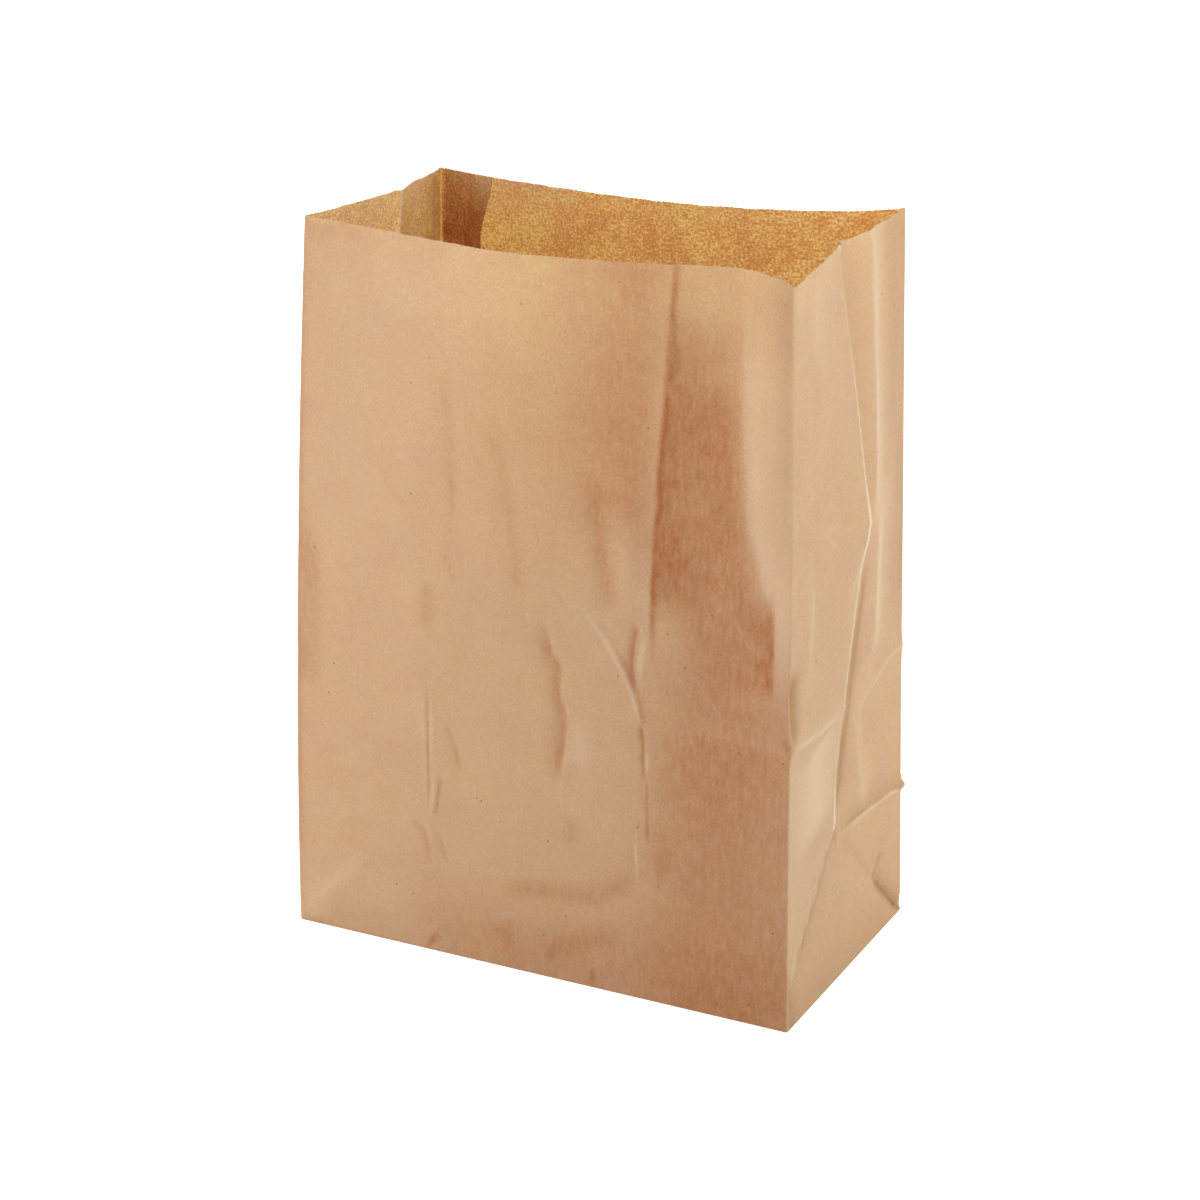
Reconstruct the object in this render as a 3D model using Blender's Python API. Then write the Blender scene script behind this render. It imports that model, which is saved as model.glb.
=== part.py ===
"""A self-opening paper lunch bag, standing open: one kraft sheet, folded and glued.

The sheet is a tube with a long lap seam inside the back panel, two side gussets with a centre
crease each, and a flat bottom folded from the tube's end. Metres, +Z up. The origin is the middle
of the bottom, the front panel faces -Y, and right and left are as seen from the front.
"""

import math

import bmesh
import bpy
import numpy as np
from mathutils import Vector

# Sizes of the folded sheet
PANEL_WIDTH = 0.202
GUSSET_WIDTH = 0.110
BAG_HEIGHT = 0.274
PAPER = 0.00015
SEAM_LAP = 0.0195
SEAM_INSET = 0.0025
BOTTOM_LAP = 0.022
GLUE_BITE = 0.00004
CUT_STAGGER = 0.0004

# The four upright folds, each named for the side that starts at it: which corner of the bottom it
# stands on, how far it has moved by the mouth, how late that lean sets in, and how round it is
FRONT, RIGHT, BACK, LEFT = range(4)
FOOT = ((-1, -1), (1, -1), (1, 1), (-1, 1))
MOUTH_SHIFT = (
    (0.0113, 0.0027, 0.0),
    (-0.0003, -0.0063, -0.0022),
    (-0.0062, -0.0032, 0.0),
    (0.0075, -0.0033, -0.0036),
)
LEAN_GROWTH = (1.6, 0.9, 0.9, 1.2)
FOLD_RADIUS = 0.0010
MOUTH_RADIUS = (0.0015, 0.0035, 0.0015, 0.0012)

# How far the mouth stands out from the straight line between two folds: share of the way along,
# and millimetres. The front panel waves, and the back panel is bowed in.
FRONT_BOW = (
    (0, 0), (0.16, 2.9), (0.3, 6.2), (0.44, 8.5), (0.64, 0), (0.86, -12.0), (0.95, -7.8), (1, 0),
)
BACK_BOW = (
    (0, 0), (0.06, -9.2), (0.16, -17.3), (0.32, -22.7), (0.55, -20.4), (0.8, -11.4), (1, 0),
)
BOW_GROWTH = 1.25

# The gussets' centre creases: height, and distance out from the line between the folds. Both are
# pushed in at the point where the bottom's diagonal folds meet. The right one has popped out above.
POINT_HEIGHT = GUSSET_WIDTH / 2
RIGHT_CREASE = ((POINT_HEIGHT, -0.0057), (0.175, 0.0071), (BAG_HEIGHT, -0.0053))
LEFT_CREASE = ((POINT_HEIGHT, -0.0050), (0.160, -0.0060), (BAG_HEIGHT, -0.0084))

# The bag was packed flat with its bottom turned up against the back, which left a level fold there
LEVEL_FOLD_RELIEF = 0.0008

# Mesh steps. A gusset's half width and the height up to its point share one count, so that the
# diagonal folds run from corner to corner of the mesh.
PANEL_STEPS = 16
GUSSET_STEPS = 8
UPPER_STEPS = 15
RAW_EDGE = 0.00005
CLEAR_OF_EDGE = 0.001


def clear_scene():
    for item in list(bpy.data.objects):
        bpy.data.objects.remove(item, do_unlink=True)


def new_collection(name):
    collection = bpy.data.collections.new(name)
    bpy.context.scene.collection.children.link(collection)
    return collection


def kraft_paper():
    material = bpy.data.materials.new("kraft_paper")
    material.use_nodes = True
    shader = material.node_tree.nodes["Principled BSDF"]
    shader.inputs["Base Color"].default_value = (0.56, 0.35, 0.20, 1.0)
    shader.inputs["Roughness"].default_value = 0.85
    shader.inputs["Metallic"].default_value = 0.0
    return material


def through(points, at):
    """A smooth curve through (place, value) points, with slopes taken from their neighbours."""
    places, values = np.array(points, float).T
    slopes = np.gradient(values, places)
    k = int(np.clip(np.searchsorted(places, at) - 1, 0, len(places) - 2))
    step = places[k + 1] - places[k]
    x = (at - places[k]) / step
    leaving = values[k] * (1 + 2 * x) + slopes[k] * step * x
    arriving = values[k + 1] * (3 - 2 * x) - slopes[k + 1] * step * (1 - x)
    return leaving * (1 - x) ** 2 + arriving * x**2


def side_width(side):
    return PANEL_WIDTH if side in (FRONT, BACK) else GUSSET_WIDTH


def upright_fold(side, height):
    """Where the fold that starts a side passes at this height of the sheet."""
    along, across = FOOT[side]
    dx, dy, dz = MOUTH_SHIFT[side]
    share = height / BAG_HEIGHT
    lean = share ** LEAN_GROWTH[side]
    x = along * PANEL_WIDTH / 2 + dx * lean
    y = across * GUSSET_WIDTH / 2 + dy * lean
    return Vector((x, y, height + dz * share))


def outward(start, end):
    """The level direction out of the bag, square to the line from one point to the next."""
    run = end - start
    return Vector((run.y, -run.x, 0)).normalized()


def panel_out(bow, share, height):
    """How far the front or back panel stands out from the line between its folds."""
    return through(bow, share) / 1000 * (height / BAG_HEIGHT) ** BOW_GROWTH


def gusset_out(crease, share, height):
    """How far a gusset stands out. Below its point, the bottom's two diagonal folds part it."""
    from_fold = GUSSET_WIDTH * min(share, 1 - share)
    if height <= POINT_HEIGHT:
        return crease[0][1] * min(height, from_fold) / POINT_HEIGHT
    return np.interp(height, *zip(*crease)) * from_fold / POINT_HEIGHT


def level_fold(height):
    """How far the level fold at the height of the gussets' points stands out."""
    reach = POINT_HEIGHT / GUSSET_STEPS
    return LEVEL_FOLD_RELIEF * max(0.0, 1 - abs(height - POINT_HEIGHT) / reach)


def on_side(side, share, height):
    """A point of the sheet, share of the way from the fold that starts a side to the next one."""
    start, end = upright_fold(side, height), upright_fold((side + 1) % 4, height)
    if side == FRONT:
        out = panel_out(FRONT_BOW, share, height)
    elif side == RIGHT:
        out = gusset_out(RIGHT_CREASE, share, height) + level_fold(height) * max(0, 2 * share - 1)
    elif side == BACK:
        out = panel_out(BACK_BOW, share, height) + level_fold(height)
    else:
        out = gusset_out(LEFT_CREASE, share, height) + level_fold(height) * max(0, 1 - 2 * share)
    return start.lerp(end, share) + outward(start, end) * out


def bend(side, height):
    """The middle of the round bend at the fold that starts a side, and the bend's radius. On a
    quarter turn the middle lies 1 - cos 45 degrees of the way in along both sides."""
    radius = FOLD_RADIUS + (MOUTH_RADIUS[side] - FOLD_RADIUS) * height / BAG_HEIGHT
    last = (side + 3) % 4
    tip = on_side(last, 1, height) + on_side(side, 0, height) - upright_fold(side, height)
    before = on_side(last, 1 - radius / side_width(last), height)
    after = on_side(side, radius / side_width(side), height)
    return tip + (before + after - 2 * tip) * (1 - math.cos(math.pi / 4)), radius


def edges_of_seam():
    """The sheet's two cut edges at the seam, as shares of the back: inside the bag, and outside."""
    outer = 1 - SEAM_INSET / PANEL_WIDTH
    return outer - SEAM_LAP / PANEL_WIDTH, outer


def faces_of_paper(side, share):
    """How far in the outer and inner faces lie. The seam's lap is two papers thick, and between it
    and the back left fold only the paper that passes under is left."""
    inner_edge, outer_edge = edges_of_seam()
    if side == BACK and share > outer_edge:
        return PAPER, 2 * PAPER
    if side == BACK and share > inner_edge:
        return 0.0, 2 * PAPER
    return 0.0, PAPER


def shares_of(side):
    """The mesh columns of a side between its bends. Each cut edge of the seam takes two."""
    steps = 2 * GUSSET_STEPS if side in (RIGHT, LEFT) else PANEL_STEPS
    shares = [step / steps for step in range(1, steps)]
    if side != BACK:
        return shares
    raw = RAW_EDGE / PANEL_WIDTH / 2
    clear = CLEAR_OF_EDGE / PANEL_WIDTH
    edges = edges_of_seam()
    shares = [s for s in shares if all(abs(s - edge) > clear for edge in edges)]
    return sorted(shares + [edge + way * raw for edge in edges for way in (-1, 1)])


def ring(height):
    """The sheet's outer and inner faces at one height, as points in order round the bag."""
    places, faces = [], []
    for side in (FRONT, RIGHT, BACK, LEFT):
        middle, radius = bend(side, height)
        last_radius = bend((side + 1) % 4, height)[1]
        width = side_width(side)
        places.append(middle)
        faces.append((PAPER, 2 * PAPER) if side == LEFT else (0.0, PAPER))
        for share in [radius / width, *shares_of(side), 1 - last_radius / width]:
            places.append(on_side(side, share, height))
            faces.append(faces_of_paper(side, share))
    outer, inner = [], []
    count = len(places)
    for k, place in enumerate(places):
        before = outward(places[k - 1], place)
        after = outward(place, places[(k + 1) % count])
        mitre = (before + after) / (1 + before.dot(after))
        outer.append(place - mitre * faces[k][0])
        inner.append(place - mitre * faces[k][1])
    return outer, inner


def row_heights():
    low = [POINT_HEIGHT * step / GUSSET_STEPS for step in range(GUSSET_STEPS + 1)]
    above = BAG_HEIGHT - POINT_HEIGHT
    return low + [POINT_HEIGHT + above * step / UPPER_STEPS for step in range(1, UPPER_STEPS + 1)]


def column_sides():
    """The side that each mesh column belongs to, and its place there, 0 at the first fold."""
    found = []
    for side in (FRONT, RIGHT, BACK, LEFT):
        shares = [0.0, 0.0, *shares_of(side), 1.0]
        found += [(side, share) for share in shares]
    return found


def wall_mesh():
    """The upright walls: the outer and inner faces lofted up the bag, closed at mouth and foot.
    Both faces are cut into the same triangles, which keeps the paper's thickness even, and the cuts
    follow the gussets' diagonal folds."""
    mesh = bmesh.new()
    heights = row_heights()
    rows = []
    for height in heights:
        outer, inner = ring(height)
        rows.append(([mesh.verts.new(p) for p in outer], [mesh.verts.new(p) for p in inner]))
    sides = column_sides()
    count = len(sides)
    for low, high, height in zip(rows, rows[1:], heights):
        for k in range(count):
            j = (k + 1) % count
            side, share = sides[k]
            falling = side in (RIGHT, LEFT) and height < POINT_HEIGHT and share >= 0.5
            for face, inward in ((0, False), (1, True)):
                corners = [low[face][k], low[face][j], high[face][j], high[face][k]]
                if falling:
                    corners = corners[1:] + corners[:1]
                for part in (corners[:3], [corners[0], *corners[2:]]):
                    mesh.faces.new(part[::-1] if inward else part)
    for k in range(count):
        j = (k + 1) % count
        foot, mouth = rows[0], rows[-1]
        mesh.faces.new((foot[0][k], foot[1][k], foot[1][j], foot[0][j]))
        mesh.faces.new((mouth[0][k], mouth[0][j], mouth[1][j], mouth[1][k]))
    return mesh


def clipped(outline, inside):
    """The part of a flat outline where inside(point) is not negative."""
    kept = []
    for k, here in enumerate(outline):
        before = outline[k - 1]
        a, b = inside(before), inside(here)
        if (a < 0) != (b < 0):
            kept.append(before.lerp(here, a / (a - b)))
        if b >= 0:
            kept.append(here)
    return kept


def in_from_end(point, end):
    return PANEL_WIDTH / 2 - end * point.x


def in_from_side(point, way):
    return GUSSET_WIDTH / 2 - way * point.y


def long_flap(outline, way):
    """A long bottom flap, hinged on the front (way -1) or the back (1). Its ends are mitred at 45
    degrees, where the corner of the sheet is folded under, and it laps past the middle."""
    flap = clipped(outline, lambda p: GUSSET_WIDTH / 2 + BOTTOM_LAP / 2 - in_from_side(p, way))
    for end in (-1, 1):
        flap = clipped(flap, lambda p, end=end: in_from_end(p, end) - in_from_side(p, way))
    return flap


def end_flap(outline, end, drawn_back=0.0):
    """A short flap, hinged on a gusset and folded in first. It is as long as the tube's end."""
    length = GUSSET_WIDTH / 2 + BOTTOM_LAP / 2 - drawn_back
    return clipped(outline, lambda p: length - in_from_end(p, end))


def folded_corner(outline, end):
    """The corner of the sheet folded under the front flap's mitre, which lies on an end flap. The
    cut ends of the two are a hair apart."""
    flap = end_flap(outline, end, CUT_STAGGER)
    return clipped(flap, lambda p: in_from_end(p, end) - in_from_side(p, -1))


def flap_object(name, outline, layer, collection):
    """A flap as a flat sheet, in its place in the stack of the bottom's layers."""
    mesh = bmesh.new()
    low = layer * PAPER
    corners = [mesh.verts.new((p.x, p.y, low)) for p in outline]
    face = mesh.faces.new(corners[::-1])
    grown = bmesh.ops.extrude_face_region(mesh, geom=[face])
    raised = [item for item in grown["geom"] if isinstance(item, bmesh.types.BMVert)]
    bmesh.ops.translate(mesh, verts=raised, vec=(0, 0, PAPER + GLUE_BITE))
    bmesh.ops.recalc_face_normals(mesh, faces=mesh.faces)
    flap = object_of(name, mesh, collection)
    flap.hide_render = True
    flap.display_type = "WIRE"
    return flap


def object_of(name, mesh, collection):
    data = bpy.data.meshes.new(name)
    mesh.to_mesh(data)
    mesh.free()
    made = bpy.data.objects.new(name, data)
    collection.objects.link(made)
    return made


def bottom_flaps(collection):
    """The bottom's layers from the outside in: front flap, back flap with the front's folded
    corners, and the two end flaps."""
    outer, inner = ring(0.0)
    outline = [a.lerp(b, 0.5) for a, b in zip(outer, inner)]
    flaps = [
        flap_object("front_flap", long_flap(outline, -1), 0, collection),
        flap_object("back_flap", long_flap(outline, 1), 1, collection),
    ]
    for word, end in (("left", -1), ("right", 1)):
        corner = folded_corner(outline, end)
        flaps.append(flap_object(f"{word}_folded_corner", corner, 1, collection))
        flaps.append(flap_object(f"{word}_end_flap", end_flap(outline, end), 2, collection))
    return flaps


clear_scene()
bag_parts = new_collection("paper_lunch_bag")
flap_sheets = new_collection("flaps_to_join")

bag = object_of("paper_bag", wall_mesh(), bag_parts)
bag.data.materials.append(kraft_paper())
for flap in bottom_flaps(flap_sheets):
    glue = bag.modifiers.new(f"glue_{flap.name}", "BOOLEAN")
    glue.operation = "UNION"
    glue.solver = "EXACT"
    glue.object = flap
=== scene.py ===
"""The looks of a brown paper lunch bag that stands open on a pale floor.

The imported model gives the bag's place and size. This script lays the real sheet of paper along it, with
its folds, lap, creases and cut edges, and gives it the look of thin unbleached kraft paper.
"""

import math

import bpy
import numpy as np
from mathutils import Matrix, Vector


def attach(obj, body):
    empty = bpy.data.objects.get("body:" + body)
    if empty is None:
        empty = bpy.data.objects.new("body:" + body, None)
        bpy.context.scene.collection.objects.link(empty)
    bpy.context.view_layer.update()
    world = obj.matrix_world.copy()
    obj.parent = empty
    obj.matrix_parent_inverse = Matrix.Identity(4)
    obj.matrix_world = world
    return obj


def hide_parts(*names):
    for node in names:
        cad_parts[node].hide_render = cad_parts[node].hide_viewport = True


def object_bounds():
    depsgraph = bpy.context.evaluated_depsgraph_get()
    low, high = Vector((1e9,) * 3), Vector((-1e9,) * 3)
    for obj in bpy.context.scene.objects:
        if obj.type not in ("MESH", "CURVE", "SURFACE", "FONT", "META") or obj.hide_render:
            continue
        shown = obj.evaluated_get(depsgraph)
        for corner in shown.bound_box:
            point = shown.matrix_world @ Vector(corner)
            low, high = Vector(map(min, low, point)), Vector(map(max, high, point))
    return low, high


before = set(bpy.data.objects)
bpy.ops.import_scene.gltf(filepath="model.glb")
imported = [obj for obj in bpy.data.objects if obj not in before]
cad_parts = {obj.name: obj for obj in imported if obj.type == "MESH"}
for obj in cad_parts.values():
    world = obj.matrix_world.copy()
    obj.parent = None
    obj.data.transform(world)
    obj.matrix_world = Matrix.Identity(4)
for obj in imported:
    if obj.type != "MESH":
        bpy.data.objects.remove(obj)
cad_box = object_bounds()

# The bag: one sheet of brown kraft paper, 643.5 mm round and 340 mm long. A bag machine folds it into
# a tube with a long glued lap, tucks in the two gussets, cuts it off with a toothed blade, and folds
# and glues the tube's end into a flat bottom. Lengths here are millimetres of the flat sheet: along it,
# from the back left fold by way of the left gusset, front, right gusset and back, and up from the foot.
MM = 0.001
PANEL = 202.0
GUSSET = 110.0
HEIGHT = cad_box[1].z / MM
PAPER = 0.15
LAYER_GAP = 0.03
SAME = 0.001
LAP = 22.0
LAP_SHORT = 2.5
LAP_FLARE = 0.3
BOTTOM_REACH = GUSSET / 2 + 11
LEFT, FRONT, RIGHT, BACK = range(4)
FOLD_AT = (0.0, GUSSET, GUSSET + PANEL, 2 * GUSSET + PANEL)
ROUND = 2 * GUSSET + 2 * PANEL
SHEET_START = -LAP
SHEET_END = ROUND - LAP_SHORT

# Each side starts at its own upright fold: the corner of the foot it stands on, how far it has moved
# by the mouth, how late that lean sets in, and how round the fold is at the foot and at the mouth
FOOT = ((-1, 1), (-1, -1), (1, -1), (1, 1))
MOUTH_SHIFT = ((7.5, -3.3, -3.6), (11.3, 2.7, 0), (-0.3, -6.3, -2.2), (-6.2, -3.2, 0))
LEAN_GROWTH = (1.2, 1.6, 0.9, 0.9)
FOOT_ROUND = 0.8
MOUTH_ROUND = (1.2, 1.5, 2.2, 1.5)

# How far the mouth stands out from the line between two folds: share of the way, and millimetres
FRONT_BOW = (
    (0, 0), (0.16, 2.9), (0.3, 6.2), (0.44, 8.5), (0.64, 0), (0.86, -12), (0.95, -7.8), (1, 0),
)
BACK_BOW = (
    (0, 0), (0.06, -9.2), (0.16, -17.3), (0.32, -22.7), (0.55, -20.4), (0.8, -11.4), (1, 0),
)
BOW_GROWTH = 1.25

# The gussets' centre creases: height, how far out they stand, and where along the gusset they run
POINT = GUSSET / 2
RIGHT_CREASE = (
    (0, -5.7, 55), (POINT, -5.7, 55.6), (90, -3, 55.6), (125, 1, 55), (156, 4.9, 53.8),
    (175, 7.1, 55.3), (190, 5.2, 54.2), (221, 1.4, 55.5), (HEIGHT, -5.3, 54.3),
)
LEFT_CREASE = ((0, -5, 55), (POINT, -5, 55), (160, -6, 54), (230, -7.4, 53), (HEIGHT, -8.4, 48.5))

# Where the fold from a gusset's point down to the foot's front corner runs, now that the foot has
# settled: height and distance from the front fold
FRONT_DIAGONAL = ((0, 0), (14, 0), (24, 8), (36, 25), (42, 33), (50, 44), (POINT, POINT))

# The front's long crease, which the mesh follows: height and distance from the front left fold
LONG_CREASE = ((0, 147), (125, 147), (147, 147), (200, 148.4), (233, 150.6), (HEIGHT, 153.2))


def between(table, at, column=1):
    """Straight runs between a table's rows, read at these places."""
    table = np.array(table, float)
    return np.interp(at, table[:, 0], table[:, column])


def smooth(start, end, at):
    """0 before start, 1 after end, and an even S between them."""
    t = np.clip((at - start) / (end - start), 0, 1)
    return t * t * (3 - 2 * t)


def bell(away, reach):
    """1 on a line, and dying away over its reach."""
    return np.exp(-((away / reach) ** 2))


def through(table, at):
    """A smooth curve through a table's rows, with slopes taken from their neighbours."""
    places, values = np.array(table, float).T
    slopes = np.gradient(values, places)
    k = np.clip(np.searchsorted(places, at) - 1, 0, len(places) - 2)
    step = places[k + 1] - places[k]
    x = (at - places[k]) / step
    leaving = values[k] * (1 + 2 * x) + slopes[k] * step * x
    arriving = values[k + 1] * (3 - 2 * x) - slopes[k + 1] * step * (1 - x)
    return leaving * (1 - x) ** 2 + arriving * x**2


def side_length(side):
    return PANEL if side in (FRONT, BACK) else GUSSET


def counted_round(along):
    """Places along the sheet, with the lap's counted on to the end of the back, which it lies under."""
    return np.where(along < 0, along + ROUND, along)


def upright_fold(side, up):
    """Where the fold that starts a side passes, for each height of the sheet."""
    across, deep = FOOT[side]
    share = np.clip(up / HEIGHT, 0, 1)
    lean = share ** LEAN_GROWTH[side]
    dx, dy, dz = MOUTH_SHIFT[side]
    return np.stack([
        across * PANEL / 2 + dx * lean,
        deep * GUSSET / 2 + dy * lean,
        up + dz * share,
    ], -1)


def outward(start, end):
    """The level direction out of the bag, square to the line from start to end."""
    run = end - start
    out = np.stack([run[..., 1], -run[..., 0], 0 * run[..., 0]], -1)
    return out / np.linalg.norm(out, axis=-1, keepdims=True)


def gusset_out(table, at, up):
    """How far a gusset stands out. Below its point, the bottom's two diagonal folds part it."""
    crease = between(table, up, 2)
    part = np.where(at < crease, at / crease, (GUSSET - at) / (GUSSET - crease))
    out = between(table, up) * part
    in_front = (at < POINT) == (table is RIGHT_CREASE)
    from_foot = np.where(in_front, between(FRONT_DIAGONAL, up), up)
    low = table[0][1] * np.minimum(from_foot, np.minimum(at, GUSSET - at)) / POINT
    return np.where(up < POINT, low, out)


def wall(side, at, up, under=0.0):
    """A point of an upright wall: at is how far along its side, up how high on the sheet, and under
    how far it lies beneath another layer."""
    start, end = upright_fold(side, up), upright_fold((side + 1) % 4, up)
    share = (at / side_length(side))[..., None]
    if side in (LEFT, RIGHT):
        out = gusset_out(RIGHT_CREASE if side == RIGHT else LEFT_CREASE, at, up)
    else:
        bow = through(FRONT_BOW if side == FRONT else BACK_BOW, share[..., 0])
        out = bow * np.clip(up / HEIGHT, 0, 1) ** BOW_GROWTH
    out = out + relief(side, at, up) - PAPER / 2 - under
    return start + (end - start) * share + outward(start, end) * out[..., None]


# The ridges that the gussets bend out along, from the mouth down to their centre creases
RIGHT_RIDGE = ((79, 290), (75, 250), (72.5, 230), (70, 210), (66.5, 196), (61.5, 184), (53, 169))
LEFT_RIDGE = ((30, 290), (33, 240), (38, 196), (52, 172))

# What handling left in the paper, in millimetres out of the sheet. A fold is a sharp ridge or valley
# along a path of (along the side, up) points: its height, its two reaches and its path. The first reach
# is for the side where the panel starts on a path that runs down, and for below on one that runs across.
FOLDS = {FRONT: (
    (1.1, 13, 5, ((153.2, 290), (150.6, 233), (148.4, 200), (147.5, 172), (147, 150), (147.3, 128))),
    (-1.6, 7, 1, ((192.6, 165), (193.2, 157), (193.2, 143), (192.8, 123))),
    (-0.9, 2.2, 1.2, ((143, 148), (141, 140), (139.8, 130), (141.5, 119))),
    (0.9, 2, 1.3, ((118, 154), (124, 146), (131, 137), (137, 127), (141, 118), (144.5, 108),
                   (145.5, 102))),
    (-0.9, 1, 1, ((143.3, 109), (144.7, 100), (145, 87))),
    (-0.35, 0.7, 0.7, ((146.3, 90), (147.3, 61))),
    (0.5, 0.9, 0.9, ((142.2, 67), (143.8, 47))),
    (-1, 4, 4, ((86, 29), (110, 33), (127, 34), (139, 42), (145, 50))),
    (-0.8, 4, 4, ((104, 6), (121, 15), (139, 22))),
    (-1.2, 4.5, 1.2, ((106.5, 145), (109, 130), (112.5, 125), (111.7, 115), (115, 105), (113.2, 92),
                      (110.8, 76))),
    (-0.35, 0.8, 0.8, ((57.9, 112), (57.6, 90), (57.5, 57))),
    (0.35, 1, 1.2, ((60, 106), (59.8, 75))),
    (0.5, 1.2, 0.9, ((60.8, 71), (59, 57))),
    (-0.45, 1, 1, ((62.8, 74), (61.5, 63), (60, 54))),
    (-0.5, 1, 1, ((49, 54), (55, 49), (57.5, 42), (57, 36))),
    (0.45, 0.9, 0.9, ((58.5, 53), (59.5, 46), (58.6, 38))),
    (-0.45, 0.9, 0.9, ((61, 51), (62.5, 44), (66, 37))),
    (-0.35, 0.9, 1.2, ((64.8, 94), (69.5, 86), (71, 76))),
    (-0.3, 1.1, 1, ((69, 191), (70.7, 175))),
    (-0.3, 1.1, 1, ((65.5, 163), (70.8, 150))),
    (0.4, 1.5, 1.5, ((143, 105.2), (175, 106.3), (205, 107.6))),
    (0.8, 4, 4, ((0, 1), (14, 17), (28, 30), (40, 38))),
    (0.6, 4, 4, ((4, 0), (24, 12), (46, 18))),
    (-0.8, 3.5, 3.5, ((0, 161), (8, 150), (11, 136))),
    (-0.9, 3.5, 3.5, ((0, 114), (8.8, 103), (10, 93))),
    (-0.5, 1, 1, ((124.7, 10), (125.3, -2))),
    (-0.8, 1, 0.9, ((54.4, -2), (57.5, 3.5), (62, 9))),
), RIGHT: (
    (-0.9, 0.8, 14, ((54.3, 290), (55.5, 221), (54.2, 190), (55.3, 172))),
    (-1.3, 2.2, 7, ((55.3, 175), (53.8, 156), (55, 125), (55.6, 90), (55.4, 57))),
    (0.3, 0.7, 0.7, ((57.2, 166), (56.6, 152), (57.4, 125), (57.6, 92))),
    (2.3, 16, 9, RIGHT_RIDGE),
    (1.8, 6, 12, ((59, 180), (67, 163), (70.5, 152), (72, 140), (73, 112))),
    (1.2, 3, 3, ((-6, 112), (2, 110.5), (12, 108), (30, 106), (50, 104.5), (62, 104))),
    (-1.4, 1.5, 2.5, ((1, 135), (2.6, 122), (5, 110))),
    (0.8, 2.5, 2.5, ((66, 95), (72, 101), (85, 105), (96, 109), (116, 109.5))),
    (0.7, 2.5, 8, ((67.5, 100), (69, 85), (73, 70), (79, 49))),
    (-2.6, 1.4, 2.2, ((86, 23), (95, 14), (104, 5), (115, -5))),
    (-1.2, 1.2, 1.8, ((94, 33), (86, 20))),
    (0.4, 1.5, 1.5, ((12.5, 178), (15, 160), (17.8, 122))),
), BACK: (
    (1, 4, 9, ((62, 290), (60, 225), (64, 170), (63, 140))),
    (-0.7, 2.6, 2.6, ((118, 190), (115, 165), (117, 140), (116, 118))),
    (0.6, 1.2, 3, ((150, 128), (147, 104), (149, 84), (148, 66))),
    (-0.5, 1, 1.2, ((44, 98), (47, 90), (46, 78))),
    (0.6, 5, 5, ((1, 2), (14, 18), (33, 34))),
    (0.6, 5, 5, ((201, 3), (186, 17), (168, 30))),
), LEFT: (
    (-0.8, 12, 0.8, ((48.5, 290), (53, 230), (54, 175))),
    (-1, 7, 0.8, ((54, 176), (54.4, 120), (55, 57))),
    (1.2, 8, 12, LEFT_RIDGE),
    (0.7, 8, 2.5, ((40, 104), (37, 78), (33, 50))),
    (-1.2, 1.4, 1.4, ((22, 22), (13, 12), (-4, -4))),
)}

# Soft swells and hollows along a path: height, reach and path
SWELLS = {FRONT: (
    (-1.6, 8, ((175, 300), (177, 235), (182, 195), (189, 155))),
    (-0.6, 5, ((84, 220), (91, 190), (97, 165), (97, 143))),
    (-0.7, 4, ((125, 202), (128, 172), (133, 148))),
    (0.6, 4, ((137, 208), (139, 180), (139, 152))),
    (-0.2, 3, ((65, 230), (70, 200), (70, 174))),
    (0.6, 13, ((60, 230), (58, 140), (66, 60))),
    (0.6, 7, ((120, 112), (121, 84))),
    (0.5, 9, ((172, 110), (170, 70), (167, 30))),
    (-0.5, 6, ((9, 170), (9, 95))),
), RIGHT: (
    (0.3, 5, ((25, 290), (24, 220), (28, 150))),
), BACK: (
    (-1.1, 9, ((92, 240), (96, 190), (94, 140))),
    (0.8, 11, ((138, 250), (142, 180), (136, 100))),
), LEFT: (
    (0.5, 5, ((84, 290), (85, 220), (82, 150))),
)}

# Small dents and bumps: height, where along the side and how high up, and how wide and tall
DENTS = {FRONT: (
    (0.5, 146.5, 94, 1, 1.6),
), RIGHT: (
    (-2.8, 59.6, 275, 1.7, 2.8),
    (0.9, 55.6, 274, 1, 3),
    (1.8, 110, 52.6, 4, 1.8),
    (0.9, 0, 110.5, 5, 4),
    (0.5, 57, 51, 1.5, 1.5),
    (-0.5, 60, 55, 1.4, 1.6),
    (0.4, 63, 49.5, 1.3, 1.3),
), BACK: (
    (1.1, 0, 52.6, 4, 1.8),
), LEFT: ()}

# The sheet's unevenness between its creases: depth, seed of each side's own waves, and how wide and tall
# its lumps are. The fine creases come in patches. All of it dies away by the upright folds and the foot.
BROAD_WAVES = (0.55, 11, 60, 170)
SMALL_WAVES = (0.1, 21, 21, 50)
FINE_CREASES = (0.2, 31, 26, 34)
CREASED_PATCHES = (1, 41, 60, 70)
WAVES = 14
CALM_BY_FOLD = 14
CALM_BY_FOOT = 12

# The level fold that a flat bag's bottom was turned up along: round the back and the rear of both
# gussets, it leaves the wall above it pressed in
LEVEL_FOLD = 1.1
LEVEL_FOLD_REACH = 13.0
LEVEL_FOLD_SAG = 3.6
REAR_FROM = POINT + 8
REAR_FULLY = POINT + 22

# The share of its length over which a crease or a mark fades at each end of its path
FADED_END = 0.18


def rear_share(side, at):
    """1 on the back and the rear halves of the gussets, 0 on the front, and even in between."""
    if side in (FRONT, BACK):
        return np.full(at.shape, float(side == BACK))
    return smooth(REAR_FROM, REAR_FULLY, at if side == RIGHT else GUSSET - at)


def level_fold(side, at):
    """The height of the level fold."""
    return POINT - LEVEL_FOLD_SAG * (rear_share(side, at) if side in (LEFT, RIGHT) else 1)


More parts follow.
